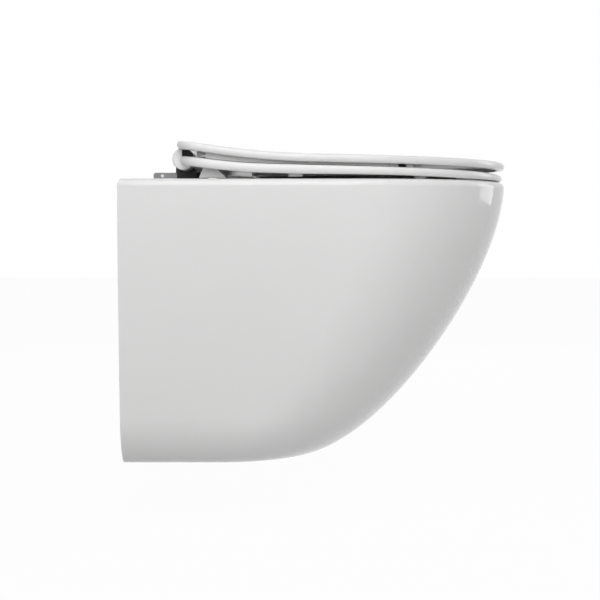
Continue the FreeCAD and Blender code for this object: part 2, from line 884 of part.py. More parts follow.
def lid_outline(inset, z):
    half = lid_width / 2 - inset
    return d_outline(lid_rear + inset, lid_front - inset, half, lid_nose - inset, z, lid_corner - inset)


def lid_plate(inset, low_lift, high_lift):
    block = plate(lid_outline(inset, rim - overrun), 2 * overrun)
    return block.common(slab(lid_curve, low_lift, high_lift))


def lid_ridge():
    """Thin rib under the lid that closes the gap above the seat along the sides."""
    wall = lid_plate(ridge_inset, -lid_rear_lift, -lid_skin)
    wall = wall.cut(lid_plate(ridge_inset + ridge_width, -overrun, 0))
    window = box(ridge_rear, ridge_front, -lid_width, lid_width, rim, rim + overrun)
    return wall.common(window).cut(slab(seat_curve, -overrun, seat_thickness + ridge_gap))


def lid_notches():
    """Clear the hinge bases and posts when the lid swings right over."""
    y0 = half_spacing - base_width / 2 - notch_side_gap
    y1 = half_spacing + base_width / 2 + notch_side_gap
    end = 2 * hinge_axis_x - base_rear + notch_end_gap
    notch = box(0, end, y0, y1, rim, rim + overrun)
    return [notch, mirrored(notch)]


def lid_reliefs():
    """Round clearances over the seat's two barrels."""
    start = post_outer
    end = post_outer + 2 * side_gap + seat_barrel_length
    relief = cylinder_y(barrel_radius + barrel_relief, start, end, hinge_axis_x, hinge_z)
    return [relief, mirrored(relief)]


def lid():
    shell = lid_plate(0.0, -lid_thickness, 0.0)
    shell = shell.makeChamfer(lid_edge_bevel, flat_boundary(shell))
    shell = shell.cut(lid_plate(lid_margin, -overrun, -lid_skin))
    web_half = half_spacing - base_width / 2
    web = box(web_rear, web_front, -web_half, web_half, hinge_z, rim + overrun)
    web = web.common(slab(lid_curve, -overrun, -lid_skin / 2))
    shell = shell.fuse([lid_ridge(), web])
    for cutter in lid_notches() + lid_reliefs():
        shell = shell.cut(cutter)
    end = post_inner - side_gap
    shell = shell.fuse(cylinder_y(barrel_radius, -end, end, hinge_axis_x, hinge_z))
    return shell.cut(barrel_bore(end, -1)).cut(barrel_bore(-end, 1))


def lid_pad():
    """Small buffer between the lid and the seat, near the front corner."""
    edge = half_width_at(lid_pad_x + lid_pad_length / 2, lid_front, lid_nose, lid_width / 2)
    y = edge - lid_margin - pad_corner - pad_width / 2
    block = rounded_plate(lid_pad_x - lid_pad_length / 2, lid_pad_x + lid_pad_length / 2,
                          y - pad_width / 2, y + pad_width / 2, pad_corner, rim, overrun)
    block = block.common(slab(lid_curve, -overrun, -lid_skin))
    return block.cut(slab(seat_curve, -overrun, seat_thickness + rest_gap))


# ---------------------------------------------------------------- dampers and bushes

def barrel_insert(start, sign, grip):
    """Plug that fills a barrel's bore and turns on the pin's end: y runs from start by sign."""
    y0, y1 = sorted((start, start + sign * damper_length))
    body = cylinder_y(damper_radius, y0, y1, hinge_axis_x, hinge_z)
    depth = grip + rest_gap
    y2, y3 = sorted((start - sign, start + sign * depth))
    return body.cut(cylinder_y(pin_radius + pin_fit, y2, y3, hinge_axis_x, hinge_z))


def hollow_insert(start, sign, grip):
    """Plain bush: the same plug opened out behind the pin's end."""
    plug = barrel_insert(start, sign, grip)
    far = start + sign * (damper_length + 1)
    y0, y1 = sorted((start + sign * grip, far))
    return plug.cut(cylinder_y(damper_radius - damper_wall, y0, y1, hinge_axis_x, hinge_z))


seat_end = post_outer + side_gap
lid_end = post_inner - side_gap

pieces = {
    "pan_shell": pan_shell(),
    "bowl": bowl(),
    "flush_channel": flush_channel(),
    "trapway": trapway(),
    "wall_bushings": pair(wall_bushing()),
    "wall_washers": pair(wall_washer_disc()),
    "wall_nuts": pair(wall_nut()),
    "hinge_gaskets": pair(hinge_gasket()),
    "hinge_bases": pair(hinge_base()),
    "set_screws": pair(set_screw()),
    "adjuster_discs": pair(adjuster_disc()),
    "fixing_studs": pair(fixing_stud()),
    "expansion_bushes": pair(expansion_bush()),
    "clamp_washers": pair(clamp_washer()),
    "wing_nuts": pair(wing_nut()),
    "hinge_posts": pair(hinge_post()),
    "axle_pins": pair(axle_pin()),
    "release_button_right": release_button(),
    "release_button_left": mirrored(release_button()),
    "seat_ring": seat_ring(),
    "seat_rear_pads": pair(rear_pad()),
    "seat_middle_pads": pair(middle_pad()),
    "seat_front_pads": pair(front_pad()),
    "seat_damper": barrel_insert(seat_end, 1, seat_grip),
    "seat_bush": hollow_insert(-seat_end, -1, seat_grip),
    "lid": lid(),
    "lid_pads": pair(lid_pad()),
    "lid_damper": barrel_insert(-lid_end, 1, lid_grip),
    "lid_bush": hollow_insert(lid_end, -1, lid_grip),
}

os.makedirs("parts", exist_ok=True)
for name, shape in pieces.items():
    shape.exportStep("parts/" + name + ".step")
    print(name, len(shape.Solids), "solids", round(shape.Volume / 1000, 1), "cm3", shape.isValid())
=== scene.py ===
"""Looks of the wall hung toilet: glazed pan, glossy seat and lid, chrome hinges, soft studio light.

Shapes are worked out in millimetres in the part's own frame (x out of the wall, y across, z up)
and turned into metres where they enter a mesh. The camera, the floor and the lamps are in metres.
"""
import json

import bpy
import numpy as np
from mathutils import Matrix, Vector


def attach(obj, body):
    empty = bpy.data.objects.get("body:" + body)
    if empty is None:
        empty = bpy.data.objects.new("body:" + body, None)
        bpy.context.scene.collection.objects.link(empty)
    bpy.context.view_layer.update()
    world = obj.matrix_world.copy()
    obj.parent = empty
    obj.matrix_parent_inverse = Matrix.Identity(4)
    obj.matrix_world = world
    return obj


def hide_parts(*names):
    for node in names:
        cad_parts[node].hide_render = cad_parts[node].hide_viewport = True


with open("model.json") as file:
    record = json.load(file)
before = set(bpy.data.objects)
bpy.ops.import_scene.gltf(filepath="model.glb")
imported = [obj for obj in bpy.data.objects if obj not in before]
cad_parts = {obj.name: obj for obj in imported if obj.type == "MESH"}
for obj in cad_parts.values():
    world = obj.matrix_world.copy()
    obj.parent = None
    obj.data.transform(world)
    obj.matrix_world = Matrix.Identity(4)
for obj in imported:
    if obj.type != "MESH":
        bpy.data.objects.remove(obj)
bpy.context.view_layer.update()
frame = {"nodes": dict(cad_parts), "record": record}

MM = 0.001
LEFT, RIGHT = -1, 1

# Pan, outside
rim = 80.0
pan_length = 490.0
pan_width = 365.0
pan_height = 355.0
pan_nose = 190.0
front_line = np.array([(490.0, 0.0), (490.0, 121.0), (322.0, 355.0), (221.0, 355.0)])
front_line_start = 0.03
side_draft = 31.0
side_draft_depth = 300.0
side_draft_power = 1.4
under_roll_height = 60.0
under_roll_width = 43.0
rim_edge_radius = 9.0
rear_edge_radius = 5.0
under_edge_share, under_edge_shift = 0.97, 3.0

# Pan, walls and bowl
wall = 11.0
hollow_end = 0.94
deck_thickness = 14.0
rear_wall_thickness = 14.0
rear_wall_foot = -45.0
bowl_rear, bowl_front = 122.0, 452.0
bowl_proportion = 278.0 / 330.0
bowl_lip_radius = 7.0
bowl_front_delay = 1.15
sump_depth = 300.0
sump_rear, sump_front = 196.0, 246.0
sump_dish = 16.0
sump_back = ((0.7, 0.94), (1.0, 0.78))

# Flush, trap and outlet
inlet_z = 35.0
inlet_radius = 27.5
inlet_length = 40.0
channel_radius = 24.0
nozzle_width, nozzle_height = 84.0, 20.0
nozzle_length = 34.0
outlet_z = -100.0
spigot_radius = 51.0
spigot_length = 45.0
spigot_bore = 42.0
spigot_taper = 24.0
spigot_space = 25.0
trap_height, trap_width = 60.0, 58.0
trap_round = 16.0
trap_line = np.array([(222.0, -190.0), (148.0, -190.0), (110.0, -45.0), (45.0, -100.0)])
trap_bends = (48.0, 44.0)

# Holes
window_rear, window_front = 25.0, 150.0
window_width = 140.0
window_corner = 22.0
bolt_spacing = 180.0
bolt_hole_radius = 12.0
fixing_x, fixing_y = 50.0, 77.5
fixing_radius = 7.5

# Hinge line
hinge_x, hinge_z = 77.0, 105.0
post_inner, post_outer = 64.5, 90.5
hinge_middle = (post_inner + post_outer) / 2
post_front = 87.0
hub_radius = 9.5
base_front, base_width = 90.5, 30.0
base_low, base_top = 81.8, 90.0
peg_x, peg_radius, peg_top = 69.0, 4.6, 99.3
pin_radius = 4.05
button_bore, button_z, button_depth = 2.06, 94.6, 9.0
foot_rear, foot_front = 63.0, 94.0
foot_cheek, foot_rise, foot_bevel = 1.1, 1.0, 0.7
foot_corner = 5.0
flank_bend = [(63.4, 96.5), (63.9, 100.5)]
side_gap = 0.8
barrel_radius = 13.5
barrel_edge = 2.4
bore_radius = 9.6
bore_depth = 44.3

# Seat
seat_rear, seat_front = 99.0, 487.0
seat_width = 358.0
seat_nose = 186.0
seat_thickness = 11.3
seat_rear_lift, seat_mid_lift, seat_front_lift = 15.0, 6.6, 0.5
seat_curve_rear, seat_mid_x, seat_rest_x = 90.0, 185.0, 420.0
hole_rear, hole_middle, hole_front = 165.0, 285.0, 420.0
hole_width = 220.0
seat_recess, seat_margin = 4.0, 8.0
seat_edge = 4.0
tip_start, tip_drop = 408.0, 4.4
arch_start, arch_end, arch_height = 225.0, 478.0, 1.6
seat_barrel_length = 56.0
tail_rear = 73.0
tail_corner = 36.0
tail_inner = 94.5
lug_cut_x, lug_cut_z = 75.5, 107.6
lug_cut_depth = 11.0
# Dark discs in the open barrel tops: painted shade for the gap between lid and seat
shade_cap_thickness, shade_cap_inset, shade_cap_edge = 1.4, 0.4, 0.5

# Lid
lid_rear, lid_front = 70.0, 490.0
lid_width = 360.0
lid_nose = 188.0
lid_corner = 26.0
lid_thickness = 10.0
lid_skin = 5.0
lid_margin = 10.0
lid_edge = 4.0
lid_rear_lift = 47.0
lid_bend_start, lid_bend_end = 118.0, 232.0
lid_rear_slope, lid_front_slope = 0.145, 0.0224
ridge_inset, ridge_width = 15.0, 3.0
ridge_rear, ridge_front = 106.0, 331.0
ridge_gap = 1.0
notch_inner, notch_outer = 60.5, 94.5
notch_front = 123.8
barrel_relief = 0.9
web_rear, web_front = 71.5, 88.0

# Camera, measured from the photograph's perspective, in metres but for the lens
camera_from_wall = 0.2207
camera_away = 2.0
camera_height = 0.020
lens_mm = 90.48
frame_shift = -0.12

# Floor, in metres, and the share of white where it is seen
floor_z, floor_half = -0.34, 9.0
floor_white = 0.97

# Light from the room itself, level with the floor and overhead
low_light, high_light = 0.21, 0.23


# ---------------------------------------------------------------- outlines

# Points along each run of a D, and the scale of the last ring before a shape's middle
FRONT_STEPS, SIDE_STEPS, REAR_STEPS, CORNER_STEPS = 96, 40, 30, 8
INNERMOST = 0.02


def d_points(rear, front, half, nose, corner=0.0):
    """D-shaped outline, anticlockwise from its right front shoulder.

    The front is half an ellipse, (front - nose + nose cos a, half sin a) for a from -90 to 90
    degrees. The sides run straight back to the rear edge, with a quarter circle at each corner.
    """
    middle = front - nose
    a = np.linspace(-np.pi / 2, np.pi / 2, FRONT_STEPS + 1)
    runs = [np.column_stack([middle + nose * np.cos(a), half * np.sin(a)])]
    back = rear + corner
    along = np.linspace(0, 1, SIDE_STEPS + 1)[1:]
    runs.append(np.column_stack([middle + (back - middle) * along, np.full(SIDE_STEPS, half)]))
    turn = np.linspace(0, np.pi / 2, CORNER_STEPS + 1)[1:]
    if corner:
        runs.append(np.column_stack([back - corner * np.sin(turn), half - corner * (1 - np.cos(turn))]))
    across = np.linspace(1, -1, REAR_STEPS + 1)[1:]
    runs.append(np.column_stack([np.full(REAR_STEPS, rear), (half - corner) * across]))
    if corner:
        runs.append(np.column_stack([back - corner * np.cos(turn), corner * (1 - np.sin(turn)) - half]))
    ahead = np.linspace(0, 1, SIDE_STEPS + 1)[1:-1]
    runs.append(np.column_stack([back + (middle - back) * ahead, np.full(SIDE_STEPS - 1, -half)]))
    return np.vstack(runs)


def directions(points, centre):
    """Angle of every outline point as seen from (centre, 0)."""
    return np.arctan2(points[:, 1], points[:, 0] - centre)


def egg_points(rear, middle, front, half, angles):
    """Two half ellipses that meet at x = middle, met by a ray at each angle from (middle, 0)."""
    reach = np.where(np.cos(angles) > 0, front - middle, middle - rear)
    t = np.arctan2(np.sin(angles) / half, np.cos(angles) / reach)
    return np.column_stack([middle + reach * np.cos(t), half * np.sin(t)])


def lift_to(points, z):
    """Outline points at height z, a number or one height per point."""
    return np.column_stack([points, np.broadcast_to(z, len(points))])


def bezier(poles, t):
    """Cubic Bezier curve at every t."""
    t = np.asarray(t)[:, None]
    u = 1 - t
    return u ** 3 * poles[0] + 3 * u * u * t * poles[1] + 3 * u * t * t * poles[2] + t ** 3 * poles[3]


# ---------------------------------------------------------------- meshes

def outward(points, faces):
    """Faces turned over together where the closed shape's signed volume comes out negative."""
    corners = points[np.array([face[:3] for face in faces])]
    fourth = points[np.array([face[-1] for face in faces])]
    volume = np.einsum("ij,ij->i", corners[:, 0], np.cross(corners[:, 1], corners[:, 2])).sum()
    volume += np.einsum("ij,ij->i", corners[:, 0], np.cross(corners[:, 2], fourth)).sum()
    return faces if volume > 0 else [face[::-1] for face in faces]


def solid(name, points, faces):
    """Object on a closed mesh given in millimetres."""
    mesh = bpy.data.meshes.new(name)
    mesh.from_pydata((points * MM).tolist(), [], outward(points, faces))
    mesh.update()
    piece = bpy.data.objects.new(name, mesh)
    bpy.context.scene.collection.objects.link(piece)
    return piece


def quads(rows, columns, wrap_rows=False):
    """Quads of a grid whose columns close into rings, and whose rows close too where asked."""
    i, j = np.meshgrid(np.arange(rows if wrap_rows else rows - 1), np.arange(columns), indexing="ij")
    below, beside = (i + 1) % rows, (j + 1) % columns
    here, there = i * columns, below * columns
    return np.stack([here + j, here + beside, there + beside, there + j], -1).reshape(-1, 4).tolist()


def stack(name, rings):
    """Solid through a stack of rings, with each end closed by a fan to its middle."""
    rings = np.asarray(rings)
    rows, columns = rings.shape[:2]
    points = np.vstack([rings.reshape(-1, 3), rings[0].mean(axis=0), rings[-1].mean(axis=0)])
    j = np.arange(columns)
    beside = (j + 1) % columns
    first = np.stack([beside, j, np.full(columns, rows * columns)], -1)
    base = (rows - 1) * columns
    last = np.stack([base + j, base + beside, np.full(columns, rows * columns + 1)], -1)
    return solid(name, points, quads(rows, columns) + first.tolist() + last.tolist())


def hoop(name, rings):
    """Solid whose rings follow one another round a closed section."""
    rings = np.asarray(rings)
    rows, columns = rings.shape[:2]
    return solid(name, rings.reshape(-1, 3), quads(rows, columns, wrap_rows=True))


def turned(name, profile, axis, centre, steps=64):
    """Solid of revolution: profile holds (along, radius) pairs, axis is 0, 1 or 2."""
    angle = np.linspace(0, 2 * np.pi, steps, endpoint=False)
    rings = np.zeros((len(profile), steps, 3))
    profile = np.asarray(profile, float)
    rings[:, :, axis] = profile[:, :1]
    rings[:, :, (axis + 1) % 3] = profile[:, 1:] * np.cos(angle)
    rings[:, :, (axis + 2) % 3] = profile[:, 1:] * np.sin(angle)
    return stack(name, rings + np.asarray(centre, float))


def rod(name, radius, start, end, axis, centre, edge=0.0):
    """Round bar with its two edges rolled over by a quarter circle."""
    if not edge:
        return turned(name, [(start, radius), (end, radius)], axis, centre)
    a = np.linspace(0, np.pi / 2, 5)
    first = np.column_stack([start + edge * (1 - np.sin(a)), radius - edge * (1 - np.cos(a))])[::-1]
    last = np.column_stack([end - edge * (1 - np.sin(a)), radius - edge * (1 - np.cos(a))])
    return turned(name, np.vstack([first, last]), axis, centre)


def on_side(side, inner, outer):
    """Ends, the lower first, of a run from inner to outer on one side of the middle."""
    return sorted((side * inner, side * outer))


def hinge_rod(name, radius, side, inner, outer, edge=0.0):
    """Round bar along the hinge line, on one side of the middle."""
    return rod(name, radius, *on_side(side, inner, outer), 1, (hinge_x, 0, hinge_z), edge)


def prism_y(name, corners, y0, y1):
    """Bar across the toilet on (x, z) corners."""
    corners = np.asarray(corners, float)
    ring = np.column_stack([corners[:, 0], np.zeros(len(corners)), corners[:, 1]])
    return stack(name, [ring + (0, y0, 0), ring + (0, y1, 0)])


def block(name, x0, x1, y0, y1, z0, z1):
    """Box between its ends along x, y and z."""
    return prism_y(name, [(x0, z0), (x1, z0), (x1, z1), (x0, z1)], y0, y1)


def combine(body, pieces, operation):
    """Body with the pieces cut away (DIFFERENCE) or added (UNION), as one mesh."""
    for piece in pieces:
        step = body.modifiers.new(operation.title(), "BOOLEAN")
        step.operation = operation
        step.solver = "MANIFOLD"
        step.object = piece
    bpy.context.view_layer.update()
    shaped = body.evaluated_get(bpy.context.evaluated_depsgraph_get())
    mesh = bpy.data.meshes.new_from_object(shaped)
    mesh.name = body.name
    body.modifiers.clear()
    body.data = mesh
    for piece in pieces:
        bpy.data.objects.remove(piece)
    return body


def smooth(piece, sharp_degrees=32.0):
    """Smooth shading with edges kept crisp above an angle, weighted to the larger faces."""
    mesh = piece.data
    mesh.shade_smooth()
    mesh.set_sharp_from_angle(angle=np.radians(sharp_degrees))
    weighted = piece.modifiers.new("Weighted normals", "WEIGHTED_NORMAL")
    weighted.keep_sharp = True
    return piece


# ---------------------------------------------------------------- ceramic

def pan_half_width(depth):
    """Half the pan's width: a power-law draft, then a quarter ellipse rolling under."""
    draft = side_draft * (depth / side_draft_depth) ** side_draft_power
    share = np.clip((depth - (pan_height - under_roll_height)) / under_roll_height, 0, 1)
    return pan_width / 2 - draft - under_roll_width * (1 - np.sqrt(1 - share * share))


def pan_ring(front, depth, inset, rear):
    """The pan's D at one depth, drawn in by inset."""
    half = pan_half_width(depth) - inset
    nose = pan_nose * half / (pan_width / 2)
    return lift_to(d_points(rear, front - inset, half, nose), rim - depth)


def bowl_ring(share, depth, grow, angles, close=1.0):
    """Egg of the bowl: its rear falls evenly with share, its front by a delayed smooth step."""
    late = share ** bowl_front_delay
    ahead = late * late * (3 - 2 * late)
    rear = bowl_rear + (sump_rear - bowl_rear) * share
    front = bowl_front - (bowl_front - sump_front) * ahead
    middle, reach = (front + rear) / 2, ((front - rear) / 2 + grow) * close
    points = egg_points(middle - reach, middle, middle + reach, reach * bowl_proportion, angles)
    return lift_to(points, rim - depth)


def pan_block():
    """Whole outside as one stack of rings: underside, sides, rolled rim, deck, lip and bowl."""
    rings = []
    for front, depth in bezier(front_line, np.linspace(1.0, front_line_start, 60)):
        rings.append(pan_ring(front, depth, 0.0, 0.0))
    rings.insert(0, rings[0] * (under_edge_share, under_edge_share, 1) + (under_edge_shift, 0, 0))
    for angle in np.linspace(np.pi / 2, 0, 11):
        shrink = 1 - np.sin(angle)
        depth = rim_edge_radius * (1 - np.cos(angle))
        rings.append(pan_ring(pan_length, depth, rim_edge_radius * shrink, rear_edge_radius * shrink))
    outer = rings[-1]
    middle = (bowl_rear + bowl_front) / 2
    angles = directions(outer, middle)
    lip = bowl_ring(0.0, 0.0, bowl_lip_radius, angles)
    for share in (0.01, 0.25, 0.5, 0.75, 0.99):
        rings.append(outer + (lip - outer) * share)
    for angle in np.linspace(0, np.pi / 2, 11):
        depth = bowl_lip_radius * (1 - np.cos(angle))
        rings.append(bowl_ring(0.0, depth, bowl_lip_radius * (1 - np.sin(angle)), angles))
    for share in np.linspace(0, 1, 71)[1:]:
        depth = bowl_lip_radius + (sump_depth - bowl_lip_radius) * share
        dish = max(0.0, depth - (sump_depth - sump_dish)) / sump_dish
        rings.append(bowl_ring(share, depth, 0.0, angles, max(INNERMOST, np.sqrt(1 - dish * dish))))
    return stack("ceramic", rings)


def skirt_hollow():
    """Space inside the skirt: the pan's rings drawn in by the wall and run out past the back."""
    rings = []
    for front, depth in bezier(front_line, np.linspace(0.0, hollow_end, 32)):
        depth = np.clip(depth, deck_thickness, pan_height - wall)
        if not rings or rim - depth < rings[-1][0, 2] - 1:
            rings.append(pan_ring(front, depth, wall, -wall))
    return stack("hollow", rings)


def bowl_back():
    """Outside of the bowl's wall, from inside the deck down to the sump, where it closes in."""
    angles = np.linspace(0, 2 * np.pi, 96, endpoint=False)
    top = deck_thickness / 2
    rings = [bowl_ring(share, top + (sump_depth - top) * share, wall, angles)
             for share in np.linspace(0, 1, 40)]
    for fall, close in sump_back:
        rings.append(bowl_ring(1.0, sump_depth + wall * fall, wall, angles, close))
    return stack("bowl_back", rings)


def slot_bar(name, grow, x0, x1):
    """Flat bar with round ends along x, for the flush slot."""
    half = nozzle_height / 2 + grow
    reach = (nozzle_width - nozzle_height) / 2
    angle = np.linspace(-np.pi / 2, np.pi / 2, 17)
    cap = np.column_stack([reach + half * np.cos(angle), half * np.sin(angle)])
    ring = np.vstack([cap, -cap])
    ring = np.column_stack([np.zeros(len(ring)), ring[:, 0], inlet_z + ring[:, 1]])
    return stack(name, [ring + (x0, 0, 0), ring + (x1, 0, 0)])


def rounded_rectangle(half_height, half_width, corner):
    """Section of the trapway as (across, up) pairs."""
    angle = np.linspace(0, np.pi / 2, 7)
    arc = np.column_stack([half_width - corner + corner * np.cos(angle),
                           half_height - corner + corner * np.sin(angle)])
    return np.vstack([arc, (arc * (-1, 1))[::-1], -arc, (arc * (1, -1))[::-1]])


def trap_path(grow):
    """Centre line with its corners turned into arcs: points (x, z) and their headings."""
    line = trap_line.copy()
    line[0, 0] += grow
    points, headings = [line[0]], []
    for before, corner, after, bend in zip(line, line[1:], line[2:], trap_bends):
        back = (before - corner) / np.linalg.norm(before - corner)
        ahead = (after - corner) / np.linalg.norm(after - corner)
        half = np.arccos(back @ ahead) / 2
        middle = corner + (back + ahead) / np.linalg.norm(back + ahead) * bend / np.sin(half)
        entry, leave = corner + back * bend / np.tan(half), corner + ahead * bend / np.tan(half)
        a, b = entry - middle, leave - middle
        sweep = np.arctan2(a[0] * b[1] - a[1] * b[0], a @ b)
        for turn in np.linspace(0, sweep, 14):
            points.append(middle + np.array([a[0] * np.cos(turn) - a[1] * np.sin(turn),
                                             a[0] * np.sin(turn) + a[1] * np.cos(turn)]))
    points.append(line[-1])
    points = np.array(points)
    headings = np.gradient(points, axis=0)
    return points, headings / np.linalg.norm(headings, axis=1)[:, None]


def trap_bar(name, grow):
    """The trapway's section carried along its centre line, cut off square at the spigot."""
    section = rounded_rectangle(trap_height / 2 + grow, trap_width / 2 + grow, trap_round + grow)
    points, headings = trap_path(grow)
    rings = []
    for (x, z), (dx, dz) in zip(points, headings):
        across, up = section[:, 0], section[:, 1]
        rings.append(np.column_stack([x - dz * up, across, z + dx * up]))
    end = spigot_length + (wall - grow) / 2
    behind = block("behind", -pan_length, end, -pan_width, pan_width, -pan_height, rim)
    return combine(stack(name, rings), [behind], "DIFFERENCE")


def rear_wall():
    """Upright wall at the back, arched over the outlet."""
    slab = block("rear_wall", -2 * wall, rear_wall_thickness, -pan_width, pan_width,
                 rear_wall_foot, rim + wall)
    arch = rod("arch", spigot_radius + spigot_space, -pan_length, pan_length, 0, (0, 0, outlet_z))
    return combine(slab, [arch], "DIFFERENCE")


def window_block():
    """Round-cornered opening in the underside."""
    middle, half_x = (window_rear + window_front) / 2, (window_front - window_rear) / 2
    ring = rounded_rectangle(window_width / 2, half_x, window_corner)
    ring = ring + (middle, 0)
    foot = rim - pan_height
    return stack("window", [lift_to(ring, foot - wall), lift_to(ring, foot + 2 * wall)])


def ceramic():
    """The fired piece: block with bowl, less the hollow behind the walls, less the bores."""
    hollow = combine(skirt_hollow(), [
        bowl_back(),
        rear_wall(),
        rod("inlet_back", inlet_radius + wall, -2 * wall, inlet_length + wall, 0, (0, 0, inlet_z)),
        rod("channel_back", channel_radius + wall, 0, bowl_rear + 2 * wall, 0, (0, 0, inlet_z)),
        slot_bar("slot_back", wall, bowl_rear + wall - nozzle_length, bowl_rear + 3 * wall),
        trap_bar("trap_back", wall),
        rod("spigot", spigot_radius, -2 * wall, spigot_length, 0, (0, 0, outlet_z)),
        turned("taper", [(spigot_length - 1, spigot_radius), (spigot_length, spigot_radius),
                         (spigot_length + spigot_taper, trap_width / 2 + wall)], 0, (0, 0, outlet_z)),
    ], "DIFFERENCE")
    slot_end = bowl_rear + wall - nozzle_length
    bores = [
        hollow,
        trap_bar("trap_bore", 0.0),
        rod("spigot_bore", spigot_bore, -wall, spigot_length + 1, 0, (0, 0, outlet_z)),
        turned("taper_bore", [(spigot_length, spigot_bore), (spigot_length + spigot_taper, trap_width / 2)],
               0, (0, 0, outlet_z)),
        rod("inlet_bore", inlet_radius, -wall, inlet_length, 0, (0, 0, inlet_z)),
        rod("channel_bore", channel_radius, 0, bowl_rear + wall - nozzle_length / 2, 0, (0, 0, inlet_z)),
        slot_bar("slot_bore", 0.0, slot_end, bowl_rear + wall + nozzle_length / 2),
        window_block(),
    ]
    for side in (LEFT, RIGHT):
        bores.append(rod("bolt_hole", bolt_hole_radius, -wall, rear_wall_thickness + 1, 0,
                         (0, side * bolt_spacing / 2, 0)))
        bores.append(rod("fixing_hole", fixing_radius, rim - deck_thickness - 1, rim + 1, 2,
                         (fixing_x, side * fixing_y, 0)))
    return smooth(combine(pan_block(), bores, "DIFFERENCE"))


# ---------------------------------------------------------------- seat

def seat_height(x):
    """Underside of the seat at x: a parabola swept up at the hinge, then straight, then level."""
    slope = (seat_front_lift - seat_mid_lift) / (seat_rest_x - seat_mid_x)
    knee = seat_mid_lift - slope * (seat_mid_x - seat_curve_rear) / 2
    t = (x - seat_curve_rear) / (seat_mid_x - seat_curve_rear)
    swept = (1 - t) ** 2 * seat_rear_lift + 2 * t * (1 - t) * knee + t * t * seat_mid_lift
    straight = np.maximum(seat_mid_lift + slope * (x - seat_mid_x), seat_front_lift)
    return rim + np.where(x < seat_mid_x, swept, straight)


def seat_rows(plan):
    """Rows of (outline, lift) pairs set on the underside's side line.

    The underside arches up along the front by half a sine wave, and the top falls by a parabola
    towards the tip, so the lift from 0 to the full thickness is squeezed between the two. The
    recess keeps its depth, because the pads stand in it.
    """
    rows = []
    for points, lift in plan:
        x = points[:, 0]
        arch = arch_height * np.sin(np.pi * np.clip((x - arch_start) / (arch_end - arch_start), 0, 1))
        fall = tip_drop * np.clip((x - tip_start) / (seat_front - tip_start), 0, 1) ** 2
        squeeze = 1 - (arch + fall) / seat_thickness
        shaped = seat_recess if lift == seat_recess else arch + lift * squeeze
        rows.append(lift_to(points, seat_height(x) + shaped))
    return rows


def seat_ring():
    """Ring between the D outline and the egg-shaped hole, with bullnosed edges and a recess below.

    Every ring of points is the outline drawn in, or the hole let out, by a distance in plan,
    or a share of the way between them, at a lift above the underside's side line. The outline
    runs back to the hinge, where the space between the two barrels is cut out of it.
    """
    def outer(inset):
        return d_points(tail_rear + inset, seat_front - inset, seat_width / 2 - inset,
                        seat_nose - inset, tail_corner - inset)

    angles = directions(outer(0.0), hole_middle)

    def inner(grow):
        return egg_points(hole_rear - grow, hole_middle, hole_front + grow, hole_width / 2 + grow, angles)

    plan = []
    half = seat_thickness / 2
    bull = np.linspace(-np.pi / 2, np.pi / 2, 15)
    for a in bull:
        plan.append((outer(seat_edge * (1 - np.cos(a))), half + half * np.sin(a)))
    first, last = outer(seat_edge), inner(seat_edge)
    for share in np.linspace(0, 1, 12)[1:-1]:
        plan.append((first + (last - first) * share, seat_thickness))
    for a in bull[::-1]:
        plan.append((inner(seat_edge * (1 - np.cos(a))), half + half * np.sin(a)))
    first, last = inner(seat_margin), outer(seat_margin)
    plan.append((first, 0.0))
    for share in np.linspace(0, 1, 12):
        plan.append((first + (last - first) * share, seat_recess))
    plan.append((last, 0.0))
    ring = hoop("seat", seat_rows(plan))
    gap = block("gap", 0, seat_rear, -tail_inner, tail_inner, 0, rim + pan_width)
    return combine(ring, [gap], "DIFFERENCE")


def seat():
    """Ring with its two end barrels, each open above where it meets the ring."""
    start = post_outer + side_gap
    end = start + seat_barrel_length
    barrels, bores = [], []
    for side in (LEFT, RIGHT):
        barrels.append(hinge_rod("barrel", barrel_radius, side, start, end, barrel_edge))
        bores.append(block("lug_cut", lug_cut_x, hinge_x + 2 * barrel_radius,
                           *on_side(side, end - lug_cut_depth, end + 1),
                           lug_cut_z, hinge_z + 2 * barrel_radius))
        bores.append(hinge_rod("bore", bore_radius, side, start - 1, start + bore_depth))
    return smooth(combine(combine(seat_ring(), barrels, "UNION"), bores, "DIFFERENCE"))


def shade_caps():
    """Dark discs set into the barrels where they are open above: painted shade, so the gap between lid and
    seat reads black.
    """
    face = post_outer + side_gap + seat_barrel_length - lug_cut_depth
    caps = [hinge_rod("shade_caps", barrel_radius - shade_cap_inset, side,
                      face - shade_cap_thickness / 2, face + shade_cap_thickness / 2, shade_cap_edge)
            for side in (LEFT, RIGHT)]
    return smooth(combine(caps[0], caps[1:], "UNION"))


# ---------------------------------------------------------------- hinge posts

def post_foot(side):
    """Foot that wraps the front of the chrome base: rounded in plan, bevelled at the top."""
    middle = np.array([(foot_rear + foot_front) / 2, side * hinge_middle])
    half_x, half_y = (foot_front - foot_rear) / 2, base_width / 2 + foot_cheek
    top = base_top + foot_rise
    rings = [lift_to(rounded_rectangle(half_y - inset, half_x - inset, foot_corner) + middle, z)
             for inset, z in ((0.0, base_low), (0.0, top - foot_bevel), (foot_bevel, top))]
    ends = on_side(side, hinge_middle - base_width / 2, hinge_middle + base_width / 2)
    base = block("base", 0, base_front, *ends, base_low - 1, base_top)
    return combine(stack("foot", rings), [base], "DIFFERENCE")


def post_column(side):
    """Column from the foot to the hub: its rear flank is a cubic Bezier, its head the hub's circle."""
    poles = np.array([(foot_rear + foot_bevel, base_top), *flank_bend, (hinge_x - hub_radius, hinge_z)])
    turn = np.linspace(np.pi, 0, 33)
    hub = np.column_stack([hinge_x + hub_radius * np.cos(turn), hinge_z + hub_radius * np.sin(turn)])
    front = [(post_front, peg_top), (post_front, base_top)]
    corners = np.vstack([bezier(poles, np.linspace(0, 1, 13)), hub[1:], front])
    return prism_y("column", corners, *on_side(side, post_inner, post_outer))


